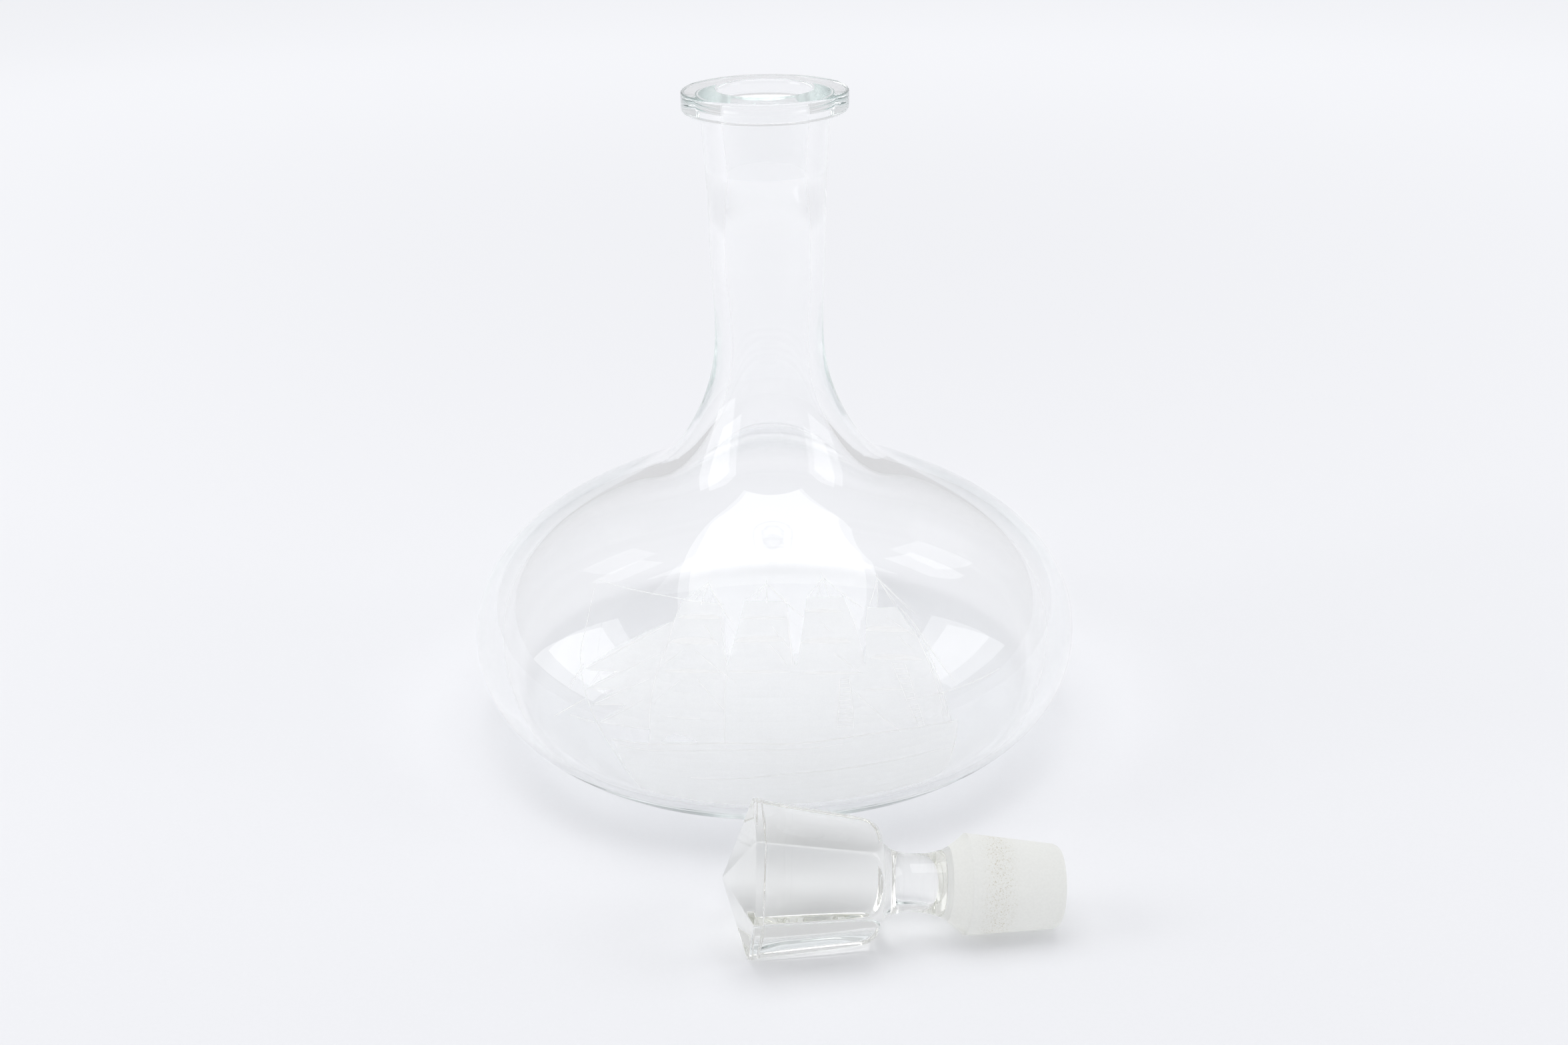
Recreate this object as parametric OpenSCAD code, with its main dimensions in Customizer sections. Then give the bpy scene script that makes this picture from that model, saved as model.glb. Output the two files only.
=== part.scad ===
// Ship's decanter: a squat onion bowl with a tall flanged neck, and its loose ground stopper,
// which lies on the surface in front of the bowl. Millimetres, +Z up, origin at the centre of
// the flat base, engraved front towards -Y.

/* [Bowl] */
// Widest diameter of the bowl
bowl_d = 200; // [180:1:220]
// Height from the base to the outer edge of the lip
body_h = 211; // [205:1:225]
// Height of the widest part above the base
equator_z = 33.5; // [30:0.5:40]
// Diameter of the flat ground base
base_d = 112; // [96:1:120]
// Thickness of the glass at the widest part
bowl_wall = 8; // [6:0.5:10]
// Thickness of the glass under the middle of the bowl
floor_t = 10; // [7:0.5:14]

/* [Shoulder] */
// Radius at which the shoulder turns from convex to hollow
shoulder_r = 32; // [29:0.5:36]
// Height of that turn above the base
shoulder_z = 94.5; // [90:0.5:100]
// Slope of the glass at that turn, in degrees above level
shoulder_slope = 53; // [45:1:60]
// Thickness of the glass at that turn
shoulder_wall = 6.5; // [5:0.5:8]

/* [Neck and lip] */
// Diameter of the neck at its waist
neck_d = 36.4; // [34:0.2:38]
// Height of the waist above the base
neck_z = 161; // [156:1:166]
// Diameter of the neck under the lip
neck_top_d = 39.4; // [38:0.2:42]
// Diameter of the polished bore below the socket
bore_d = 27; // [25:0.2:28]
// Diameter of the flat lip
lip_d = 50.8; // [48:0.2:56]
// Thickness of the lip at its outer edge
lip_t = 6.5; // [5:0.1:8]
// How far the mouth stands above the outer edge of the lip
lip_rise = 0.3; // [0.1:0.1:0.6]

/* [Ground socket] */
// Diameter of the socket just below the mouth
socket_d = 28.4; // [28:0.1:29]
// Diameter of the socket at its lower end
socket_end_d = 24.4; // [24:0.1:25]
// Depth of the lower end of the socket below the mouth
socket_h = 25; // [22:0.5:28]
// Width of the bevel around the mouth
mouth_bevel = 1.2; // [0.6:0.1:1.6]

/* [Stopper] */
// Size of the six-sided head across its corners
head_d = 44.6; // [40:0.2:48]
// Height of the low pyramid on the head
pyramid_h = 7.9; // [6:0.1:10]
// Width of the plain band around the head
girdle_w = 2.2; // [1.5:0.1:3]
// Step from the band down to the long facets
girdle_step = 0.4; // [0.2:0.1:0.8]
// Length of the long facets
facet_len = 32.6; // [30:0.2:36]
// Size across the corners at the shoulder end of the long facets
facet_end_d = 34.6; // [33:0.2:36]
// Diameter of the shank at its waist
shank_d = 16.2; // [14:0.2:18]
// Distance from the band to the top of the ground plug
plug_at = 57.7; // [56:0.1:60]
// Diameter of the plug at its top
plug_d = 28.2; // [27.8:0.1:28.4]
// Diameter of the plug at its lower end
plug_end_d = 23.2; // [22.8:0.1:24]
// Length of the plug
plug_len = 26.8; // [25:0.1:30]

/* [Stopper at rest] */
// Sideways place of the head's band
rest_x = -5; // [-20:1:20]
// Distance of the head's band in front of the decanter's axis
rest_y = 133; // [128:1:180]
// Turn of the stopper away from square with the front
rest_yaw = 3.5; // [0:0.5:10]

/* [Hidden] */
$fn = 96;

// Straight steps along one curve of an outline
steps = 12;
// Steps along a small rounded edge
edge_steps = 5;

bowl_r = bowl_d / 2;
base_r = base_d / 2;
neck_r = neck_d / 2;
neck_top_r = neck_top_d / 2;
bore_r = bore_d / 2;
lip_r = lip_d / 2;
socket_r = socket_d / 2;
socket_end_r = socket_end_d / 2;
lip_under_z = body_h - lip_t;
mouth_z = body_h + lip_rise;

// Reach of each curve's handles, as lengths along its end tangents
base_reach = 26;
belly_reach = 20.5;
crown_reach = 36.5;
shoulder_reach = 20;
hollow_reach = 34;
waist_reach = 19;
neck_reach = 22;
flare_reach = 15.3;
// How far the flare's handle leans in from the radius under the lip
flare_lean = 0.7;

// The same for the inside, whose floor is smaller than the base by floor_in
inner_base_reach = 28;
inner_belly_reach = 28;
inner_crown_reach = 33;
inner_shoulder_reach = 19;
floor_in = 13;
// How far the inside is widest below the outside's widest part
equator_drop = 0.5;

// Rounded edges of the lip
lip_edge_low = 1.5;
lip_edge_top = 0.8;
lip_fillet = 1.2;

// The socket opens to the polished bore over this height, with handles of relief_reach
socket_relief = 22;
relief_reach = 8;
// The bore is narrower by bore_taper where the relief ends, and flares from bore_foot below the waist
bore_taper = 0.1;
bore_foot = 4;

shoulder_dir = [-cos(shoulder_slope), sin(shoulder_slope)];
shoulder_in = [-sin(shoulder_slope), -cos(shoulder_slope)];
shoulder_out_p = [shoulder_r, shoulder_z];
shoulder_in_p = shoulder_out_p + shoulder_wall * shoulder_in;

function bezier(a, b, c, d, t) =
    pow(1 - t, 3) * a + 3 * pow(1 - t, 2) * t * b + 3 * (1 - t) * t * t * c + pow(t, 3) * d;

// Points after a, up to and including d
function curve(a, b, c, d, n = steps) = [for (i = [1:n]) bezier(a, b, c, d, i / n)];

// Points on a circle from angle a0 to a1
function arc(centre, r, a0, a1, n = edge_steps) =
    [for (i = [0:n]) centre + r * [cos(a0 + (a1 - a0) * i / n), sin(a0 + (a1 - a0) * i / n)]];

neck_top_p = [neck_top_r, lip_under_z - lip_fillet];

// Outside of the glass, from the base up to the lip
outer = concat(
    [[0, 0], [base_r, 0]],
    curve([base_r, 0], [base_r + base_reach, 0], [bowl_r, equator_z - belly_reach], [bowl_r, equator_z]),
    curve([bowl_r, equator_z], [bowl_r, equator_z + crown_reach],
        shoulder_out_p - shoulder_reach * shoulder_dir, shoulder_out_p),
    curve(shoulder_out_p, shoulder_out_p + hollow_reach * shoulder_dir,
        [neck_r, neck_z - waist_reach], [neck_r, neck_z]),
    curve([neck_r, neck_z], [neck_r, neck_z + neck_reach], neck_top_p - [flare_lean, flare_reach], neck_top_p)
);

// The lip, from the fillet under it round to the mouth
lip = concat(
    arc(neck_top_p + [lip_fillet, 0], lip_fillet, 165, 90),
    arc([lip_r - lip_edge_low, lip_under_z + lip_edge_low], lip_edge_low, -90, 0),
    arc([lip_r - lip_edge_top, body_h - lip_edge_top], lip_edge_top, 0, 90),
    [[socket_r + mouth_bevel, mouth_z], [socket_r, mouth_z - mouth_bevel]]
);

// Inside of the glass, from the socket down to the floor of the bowl
socket_end_p = [socket_end_r, mouth_z - socket_h];
bore_top_p = [bore_r - bore_taper, mouth_z - socket_h - socket_relief];
bore_low_p = [bore_r, neck_z - bore_foot];
inner_equator_p = [bowl_r - bowl_wall, equator_z - equator_drop];
inner_floor_p = [base_r - floor_in, floor_t];

inner = concat(
    [socket_end_p],
    curve(socket_end_p, socket_end_p - [0, relief_reach],
        bore_top_p + [0, relief_reach], bore_top_p, edge_steps),
    curve(bore_low_p, bore_low_p - [0, waist_reach],
        shoulder_in_p + hollow_reach * shoulder_dir, shoulder_in_p),
    curve(shoulder_in_p, shoulder_in_p - inner_shoulder_reach * shoulder_dir,
        inner_equator_p + [0, inner_crown_reach], inner_equator_p),
    curve(inner_equator_p, inner_equator_p - [0, inner_belly_reach],
        inner_floor_p + [inner_base_reach, 0], inner_floor_p),
    [[0, floor_t]]
);

module decanter_body() {
    color([0.86, 0.93, 0.91, 0.45])
    rotate_extrude()
    polygon(concat(outer, lip, inner));
}

// Distance from the head's axis to the middle of a facet
function flat(d) = d / 2 * cos(30);

// Radius of a softened corner between two long facets, at a distance from the band
function corner_r(x) =
    let (from = flat(head_d) - girdle_step, to = flat(facet_end_d))
    (from + (to - from) * (x - girdle_step) / (facet_len - girdle_step)) / cos(30) - corner_break;

// Half outline of the head across two opposite facets, along +X from the tip
head_half = [
    [-girdle_w - pyramid_h, 0],
    [-girdle_w, flat(head_d)],
    [0, flat(head_d)],
    [girdle_step, flat(head_d) - girdle_step],
    [facet_len, flat(facet_end_d)],
    [plug_at + plug_len + 1, flat(facet_end_d)]
];

// Two opposite facets of the head with the pyramid faces above them
module facet_pair() {
    mirrored = [for (i = [len(head_half) - 1:-1:1]) [head_half[i][0], -head_half[i][1]]];
    translate([0, head_d, 0])
    rotate([90, 0, 0])
    linear_extrude(height = 2 * head_d)
    polygon(concat(head_half, mirrored));
}

// Turned outline that rounds the shoulder, the shank and the hollow above the plug
shank_r = shank_d / 2;
plug_r = plug_d / 2;
plug_end_r = plug_end_d / 2;
plug_edge = 1.8;
// Softening of the head's corners, and of its tip
corner_break = 0.15;
tip_break = 0.3;
head_corner_r = head_d / 2 - corner_break;
tip_x = tip_break - girdle_w - pyramid_h;
// The head's shoulder starts to round this far before the end of the facets
round_len = 8;
shoulder_start = [facet_len - round_len, corner_r(facet_len - round_len)];
shoulder_end = [facet_len + 0.9, 13.2];
waist_p = [facet_len + 10.4, shank_r];
// Handles of the shoulder, the fillet under it and the hollow above the plug
round_from = [5, -0.6];
round_to = [-0.5, 3.8];
fillet_from = [0.7, -3.6];
fillet_to = [-5, 0];
hollow_from = [7.4, 0];
hollow_to = [-4.2, -4];
turn_steps = 8;
plug_top_p = [plug_at, plug_r];
plug_low_p = [plug_at + plug_len, plug_end_r];

turned = concat(
    [[tip_x, 0], [tip_x, head_corner_r], [0, head_corner_r], [girdle_step, corner_r(girdle_step)]],
    [shoulder_start],
    curve(shoulder_start, shoulder_start + round_from, shoulder_end + round_to, shoulder_end, turn_steps),
    curve(shoulder_end, shoulder_end + fillet_from, waist_p + fillet_to, waist_p, turn_steps),
    curve(waist_p, waist_p + hollow_from, plug_top_p + hollow_to, plug_top_p, turn_steps),
    arc(plug_low_p - [plug_edge, plug_edge], plug_edge, 85, 0),
    [[plug_at + plug_len, 0]]
);

// Whole stopper on its own axis: tip towards -X, plug towards +X, level flat facet below
module stopper_shape() {
    intersection() {
        rotate([0, 90, 0])
        rotate([0, 0, 15])
        rotate_extrude()
        polygon([for (p = turned) [p[1], p[0]]]);
        facet_pair();
        rotate([60, 0, 0]) facet_pair();
        rotate([120, 0, 0]) facet_pair();
    }
}

// The stopper leans down towards its plug until the band and the plug both touch the surface
rest_tilt = atan((flat(head_d) - plug_r) / plug_at);

module stopper() {
    color([0.82, 0.88, 0.86, 0.7])
    translate([rest_x, -rest_y, flat(head_d) * cos(rest_tilt)])
    rotate([0, rest_tilt, rest_yaw])
    stopper_shape();
}

decanter_body();
stopper();
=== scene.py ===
import math

import bpy
import numpy as np
from mathutils import Matrix, Vector
from mathutils.geometry import delaunay_2d_cdt


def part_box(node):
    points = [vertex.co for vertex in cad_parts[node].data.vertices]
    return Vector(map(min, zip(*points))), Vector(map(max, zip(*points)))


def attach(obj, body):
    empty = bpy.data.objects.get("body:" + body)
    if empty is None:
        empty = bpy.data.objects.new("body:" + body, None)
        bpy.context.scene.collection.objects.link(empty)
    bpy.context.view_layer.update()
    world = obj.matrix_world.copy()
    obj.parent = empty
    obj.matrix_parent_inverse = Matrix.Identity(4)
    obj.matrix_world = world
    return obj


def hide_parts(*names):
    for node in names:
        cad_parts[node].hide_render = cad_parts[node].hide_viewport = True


# A ship's decanter in clear glass with a ship engraved on its front, and its loose ground stopper.
# Outlines and drawings are in millimetres; Blender's scene is in metres.

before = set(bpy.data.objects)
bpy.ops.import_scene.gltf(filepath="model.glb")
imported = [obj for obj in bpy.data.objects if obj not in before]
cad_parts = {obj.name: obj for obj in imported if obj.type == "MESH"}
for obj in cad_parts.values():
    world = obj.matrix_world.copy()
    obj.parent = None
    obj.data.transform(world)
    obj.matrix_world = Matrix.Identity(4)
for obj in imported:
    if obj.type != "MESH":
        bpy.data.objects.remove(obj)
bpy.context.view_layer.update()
MM = 0.001


# ---------------------------------------------------------------- camera, floor and light

CAMERA_PLACE = (0.0037, -0.56, 0.3133)
CAMERA_PITCH = 23.62
CAMERA_ROLL = -0.92
CAMERA_LENS = 42.3
SENSOR_WIDTH = 36
# Light crosses the two walls many times before it leaves the glass
GLASS_BOUNCES = 96
FLOOR_BOUNCES = 24
CLEAR_BOUNCES = 32

# In metres. The floor lies just under the glass. Away from the middle, where the panels reach it
# less, it glows a little: from nothing at GLOW_FROM to FLOOR_GLOW at GLOW_TO
FLOOR_HALF = 12.0
FLOOR_GAP = 0.0003
FLOOR_COLOUR = (0.852, 0.857, 0.876)
FLOOR_GLOW = 0.31
GLOW_FROM, GLOW_TO = 0.15, 1.5
ROOM_COLOUR = (0.685, 0.687, 0.7)
GLOW_COLOUR = (0.84, 0.85, 0.87)

# Name, centre, point that it faces, width, height and radiance of each panel of light
PANELS = (
    ("overhead", (0.015, -0.045, 1.0), (0.015, -0.045, 0.0), 0.83, 0.75, 1.5),
    ("left_box", (-1.0, -0.17, 0.62), (0.0, -0.17, 0.3), 0.65, 0.76, 1.7),
    ("right_box", (1.0, -0.18, 0.7), (0.0, -0.18, 0.35), 0.62, 0.6, 1.4),
)


def add_object(name, data):
    obj = bpy.data.objects.new(name, data)
    bpy.context.scene.collection.objects.link(obj)
    return obj


def add_camera():
    data = bpy.data.cameras.new("camera")
    data.lens = CAMERA_LENS
    data.sensor_width = SENSOR_WIDTH
    camera = add_object("camera", data)
    pitch = Matrix.Rotation(math.radians(90 - CAMERA_PITCH), 4, "X")
    roll = Matrix.Rotation(math.radians(CAMERA_ROLL), 4, "Z")
    camera.matrix_world = Matrix.Translation(CAMERA_PLACE) @ pitch @ roll
    bpy.context.scene.camera = camera


def add_panel(name, centre, target, width, height, radiance):
    data = bpy.data.lights.new(name, "AREA")
    data.shape = "RECTANGLE"
    data.size = width
    data.size_y = height
    data.energy = radiance * math.pi * width * height
    light = add_object(name, data)
    light.location = centre
    aim = Vector(target) - Vector(centre)
    light.rotation_euler = aim.to_track_quat("-Z", "Y").to_euler()
    light.visible_camera = False


def set_room():
    world = bpy.data.worlds.new("room")
    world.use_nodes = True
    world.node_tree.nodes["Background"].inputs["Color"].default_value = (*ROOM_COLOUR, 1)
    scene = bpy.context.scene
    scene.world = world
    scene.view_settings.view_transform = "Standard"
    scene.cycles.max_bounces = GLASS_BOUNCES
    scene.cycles.transmission_bounces = GLASS_BOUNCES
    scene.cycles.glossy_bounces = GLASS_BOUNCES
    scene.cycles.diffuse_bounces = FLOOR_BOUNCES
    scene.cycles.transparent_max_bounces = CLEAR_BOUNCES
    scene.cycles.caustics_refractive = True
    scene.cycles.caustics_reflective = True
    scene.cycles.blur_glossy = 0.0
    scene.cycles.use_denoising = True


# ---------------------------------------------------------------- node helpers

def new_material(name):
    mat = bpy.data.materials.new(name)
    mat.use_nodes = True
    mat.node_tree.nodes.clear()
    return mat, mat.node_tree


def node(tree, kind, **inputs):
    made = tree.nodes.new("ShaderNode" + kind)
    for name, value in inputs.items():
        made.inputs[name].default_value = value
    return made


def noise(tree, scale, detail=3.0):
    """Noise in the object's own coordinates, scale in lumps a metre."""
    place = node(tree, "TexCoord")
    made = node(tree, "TexNoise", Scale=scale, Detail=detail)
    tree.links.new(place.outputs["Object"], made.inputs["Vector"])
    return made


def bump(tree, height, strength, distance):
    made = node(tree, "Bump", Strength=strength, Distance=distance)
    tree.links.new(height, made.inputs["Height"])
    return made


def ramp(tree, value, stops):
    made = tree.nodes.new("ShaderNodeValToRGB")
    while len(made.color_ramp.elements) < len(stops):
        made.color_ramp.elements.new(0.5)
    for element, (place, colour) in zip(made.color_ramp.elements, stops):
        element.position = place
        element.color = (*colour, 1)
    tree.links.new(value, made.inputs["Fac"])
    return made


# ---------------------------------------------------------------- materials

# Scales are in lumps a metre; stops are where the grain's two shades start
PAPER_SCALE = 900
PAPER_SHADE = 1.01
PAPER_STOPS = (0.3, 0.7)
PAPER_ROUGH = 0.5
FLECK_SCALE = 2400
FILM_SHADE = 0.97
FILM_STOPS = (0.35, 0.65)
FILM_ROUGH = 0.6
FILM_GRAIN_MM = 0.02
FILM_BUMP = 0.2
GLASS_IOR = 1.51
GLASS_DETAIL = 1.5
# Tint, absorption a metre, and the scale and height in millimetres of the skin's ripples
CLEAR_GLASS = ((0.65, 0.83, 0.80), 1.0, 45, 0.01)
PRESSED_GLASS = ((0.68, 0.69, 0.61), 6.8, 120, 0.02)
# Share of the light it scatters, colour and grain of each film
CUT_LINES = (0.6, (0.99, 0.99, 0.985), 3000)
MATTED_GLASS = (0.42, (0.985, 0.99, 0.99), 2500)
GROUND_SOCKET = (0.12, (0.93, 0.94, 0.95), 1500)
GROUND_GLASS = (0.8, (0.983, 0.985, 0.972), 1500)
STAIN_COLOUR = (0.42, 0.34, 0.14)
BLACK, WHITE = (0, 0, 0), (1, 1, 1)
# Where the stain sets in and ends across its band, and how the flecks thin out
BAND_STOPS = ((0.0, BLACK), (0.4, WHITE), (0.6, WHITE), (1.0, BLACK))
FLECK_STOPS = ((0.3, (0.55, 0.55, 0.55)), (0.42, (0.08, 0.08, 0.08)), (0.6, BLACK))


def floor_material():
    mat, tree = new_material("pale_paper")
    grain = noise(tree, PAPER_SCALE)
    light = tuple(c * PAPER_SHADE for c in FLOOR_COLOUR)
    tone = ramp(tree, grain.outputs["Fac"], tuple(zip(PAPER_STOPS, (FLOOR_COLOUR, light))))
    paper = node(tree, "BsdfDiffuse", Roughness=PAPER_ROUGH)
    place = node(tree, "TexCoord")
    distance = tree.nodes.new("ShaderNodeVectorMath")
    distance.operation = "LENGTH"
    far = node(tree, "MapRange", **{"From Min": GLOW_FROM, "From Max": GLOW_TO, "To Max": FLOOR_GLOW})
    far.interpolation_type = "SMOOTHSTEP"
    glow = node(tree, "Emission")
    glow.inputs["Color"].default_value = (*GLOW_COLOUR, 1)
    both = tree.nodes.new("ShaderNodeAddShader")
    out = node(tree, "OutputMaterial")
    tree.links.new(tone.outputs["Color"], paper.inputs["Color"])
    tree.links.new(place.outputs["Object"], distance.inputs[0])
    tree.links.new(distance.outputs["Value"], far.inputs["Value"])
    tree.links.new(far.outputs["Result"], glow.inputs["Strength"])
    tree.links.new(paper.outputs["BSDF"], both.inputs[0])
    tree.links.new(glow.outputs["Emission"], both.inputs[1])
    tree.links.new(both.outputs["Shader"], out.inputs["Surface"])
    return mat


def glass_material(name, tint, density, ripple_scale, ripple_mm):
    """Clear glass that darkens with its thickness; slow ripples in its fire-polished skin."""
    mat, tree = new_material(name)
    glass = node(tree, "BsdfPrincipled", Roughness=0.0, IOR=GLASS_IOR)
    glass.inputs["Base Color"].default_value = (*WHITE, 1)
    glass.inputs["Transmission Weight"].default_value = 1.0
    slow = noise(tree, ripple_scale, GLASS_DETAIL)
    skin = bump(tree, slow.outputs["Fac"], 1.0, ripple_mm * MM)
    tree.links.new(skin.outputs["Normal"], glass.inputs["Normal"])
    depth = node(tree, "VolumeAbsorption", Density=density)
    depth.inputs["Color"].default_value = (*tint, 1)
    out = node(tree, "OutputMaterial")
    tree.links.new(glass.outputs["BSDF"], out.inputs["Surface"])
    tree.links.new(depth.outputs["Volume"], out.inputs["Volume"])
    return mat


def stained(tree, colour, stain, axis, start, end):
    """The colour with flecks of stain in a band across an axis, between two distances along it."""
    place = node(tree, "TexCoord")
    along = tree.nodes.new("ShaderNodeVectorMath")
    along.operation = "DOT_PRODUCT"
    along.inputs[1].default_value = axis
    share = node(tree, "MapRange", **{"From Min": start, "From Max": end})
    band = ramp(tree, share.outputs["Result"], BAND_STOPS)
    flecks = noise(tree, FLECK_SCALE)
    dots = ramp(tree, flecks.outputs["Fac"], FLECK_STOPS)
    amount = node(tree, "Math")
    amount.operation = "MULTIPLY"
    mix = node(tree, "MixRGB", Color2=(*stain, 1))
    tree.links.new(place.outputs["Object"], along.inputs[0])
    tree.links.new(along.outputs["Value"], share.inputs["Value"])
    tree.links.new(band.outputs["Color"], amount.inputs[0])
    tree.links.new(dots.outputs["Color"], amount.inputs[1])
    tree.links.new(amount.outputs["Value"], mix.inputs["Fac"])
    tree.links.new(colour.outputs["Color"], mix.inputs["Color1"])
    return mix


def frosted_film(name, cover, colour, grain_scale, stain=None):
    """The scattering skin of cut or ground glass: part see-through, part lit from either side."""
    mat, tree = new_material(name)
    grain = noise(tree, grain_scale)
    dim = tuple(c * FILM_SHADE for c in colour)
    tone = ramp(tree, grain.outputs["Fac"], tuple(zip(FILM_STOPS, (dim, colour))))
    if stain:
        tone = stained(tree, tone, *stain)
    rough = bump(tree, grain.outputs["Fac"], FILM_BUMP, FILM_GRAIN_MM * MM)
    front = node(tree, "BsdfDiffuse", Roughness=FILM_ROUGH)
    through = node(tree, "BsdfTranslucent")
    clear = node(tree, "BsdfTransparent")
    scatter = node(tree, "MixShader", Fac=0.5)
    film = node(tree, "MixShader", Fac=cover)
    out = node(tree, "OutputMaterial")
    for shader in (front, through):
        tree.links.new(tone.outputs["Color"], shader.inputs["Color"])
        tree.links.new(rough.outputs["Normal"], shader.inputs["Normal"])
    tree.links.new(front.outputs["BSDF"], scatter.inputs[1])
    tree.links.new(through.outputs["BSDF"], scatter.inputs[2])
    tree.links.new(clear.outputs["BSDF"], film.inputs[1])
    tree.links.new(scatter.outputs["Shader"], film.inputs[2])
    tree.links.new(film.outputs["Shader"], out.inputs["Surface"])
    return mat


# ---------------------------------------------------------------- outlines

def bezier(a, b, c, d, n):
    """n points after a, up to and including d."""
    t = (np.arange(1, n + 1) / n)[:, None]
    a, b, c, d = (np.array(p, float) for p in (a, b, c, d))
    return (1 - t) ** 3 * a + 3 * (1 - t) ** 2 * t * b + 3 * (1 - t) * t * t * c + t ** 3 * d


def fair(line, near, reach):
    """The same outline with its bend evened out over reach either side of the point near: a curve of
    the fifth degree takes over the place, direction and bend at both ends."""
    length = np.concatenate([[0], np.cumsum(np.hypot(*np.diff(line, axis=0).T))])
    middle = length[np.argmin(np.hypot(*(line - near).T))]
    a, b = np.searchsorted(length, (middle - reach, middle + reach))
    way = np.gradient(line, length, axis=0)
    bend = np.gradient(way, length, axis=0)
    span = length[b] - length[a]
    t = ((length[a:b + 1] - length[a]) / span)[:, None]
    over = 10 * t ** 3 - 15 * t ** 4 + 6 * t ** 5
    made = line.copy()
    made[a:b + 1] = (
        (1 - over) * line[a] + over * line[b]
        + (t - 6 * t ** 3 + 8 * t ** 4 - 3 * t ** 5) * span * way[a]
        + (7 * t ** 4 - 4 * t ** 3 - 3 * t ** 5) * span * way[b]
        + (t ** 2 - 3 * t ** 3 + 3 * t ** 4 - t ** 5) / 2 * span ** 2 * bend[a]
        + (t ** 3 - 2 * t ** 4 + t ** 5) / 2 * span ** 2 * bend[b])
    return made


def arc(centre, radius, start, end, n):
    angle = np.radians(np.linspace(start, end, n + 1))
    return np.array(centre) + radius * np.stack([np.cos(angle), np.sin(angle)], 1)


body_low, body_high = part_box("decanter_body")
BOWL_R = min(body_high.x, -body_low.x, body_high.y) / MM
MOUTH_Z = body_high.z / MM
LIP_RISE = 0.3
LIP_Z = MOUTH_Z - LIP_RISE
BASE_R = 56
EQUATOR_Z = 33.5
BOWL_WALL = 8
FLOOR_T = 10
SHOULDER = np.array((32, 94.5))
SHOULDER_WALL = 6.5
SLOPE = math.radians(53)
UP_SLOPE = np.array((-math.cos(SLOPE), math.sin(SLOPE)))
INWARD = np.array((-math.sin(SLOPE), -math.cos(SLOPE)))
NECK_R = 18.2
NECK_Z = 161
NECK_TOP_R = 19.7
LIP_R = 25.4
LIP_T = 6.5
LIP_FILLET = 1.2
LIP_EDGE_LOW = 1.5
LIP_EDGE_TOP = 0.8
SOCKET_R = 14.2
MOUTH_ROUND = 1.5
SOCKET_END = np.array((12.2, MOUTH_Z - 25))
BORE_TOP = np.array((13.4, MOUTH_Z - 47))
BORE_LOW = np.array((13.5, NECK_Z - 4))
# Reach of each curve's handles along its end tangents, outside and inside
BASE_REACH, INNER_BASE_REACH = 26, 28
BELLY_REACH, INNER_BELLY_REACH = 20.5, 28
CROWN_REACH, INNER_CROWN_REACH = 36.5, 33
SHOULDER_REACH, INNER_SHOULDER_REACH = 20, 19
HOLLOW_REACH = 34
WAIST_REACH = 19
NECK_REACH = 22
FLARE_FROM = (0.7, 15.3)
RELIEF_REACH = 8
# The inside is widest below the outside's widest ring, and its floor is smaller than the base
EQUATOR_DROP = 0.5
FLOOR_IN = 13
FAIR_REACH = 15
# The long curves over the crown and the shoulder take this many times as many steps as the others
CROWN_STEPS, SHOULDER_STEPS = 1.6, 1.4
RELIEF_STEPS, BORE_STEPS = 16, 6
SOCKET_ROWS = 13
# Two rings on the lip's flat top: how far in from its edge they lie, and how far the first is above
# that edge and the second below the mouth; then the width of the round into the mouth and its handles
TOP_IN, TOP_RISE = (3.9, 7.4), (0.12, 0.06)
MOUTH_W, MOUTH_REACH = 1.6, (1.1, 1)
# The fillet under the lip starts almost along the neck
FILLET_START = 165
FILLET_STEPS, LOW_STEPS, TOP_STEPS, MOUTH_STEPS = 6, 8, 7, 8


def outer_outline(n):
    """Outside of the glass, from the edge of the flat base to the fillet under the lip."""
    base = np.array((BASE_R, 0))
    equator = np.array((BOWL_R, EQUATOR_Z))
    waist = np.array((NECK_R, NECK_Z))
    top = np.array((NECK_TOP_R, LIP_Z - LIP_T - LIP_FILLET))
    line = np.vstack([
        base,
        bezier(base, base + (BASE_REACH, 0), equator - (0, BELLY_REACH), equator, n),
        bezier(equator, equator + (0, CROWN_REACH), SHOULDER - SHOULDER_REACH * UP_SLOPE, SHOULDER,
               int(CROWN_STEPS * n)),
        bezier(SHOULDER, SHOULDER + HOLLOW_REACH * UP_SLOPE, waist - (0, WAIST_REACH), waist,
               int(SHOULDER_STEPS * n)),
        bezier(waist, waist + (0, NECK_REACH), top - FLARE_FROM, top, n // 2),
    ])
    return fair(fair(line, SHOULDER, FAIR_REACH), waist, FAIR_REACH)


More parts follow.
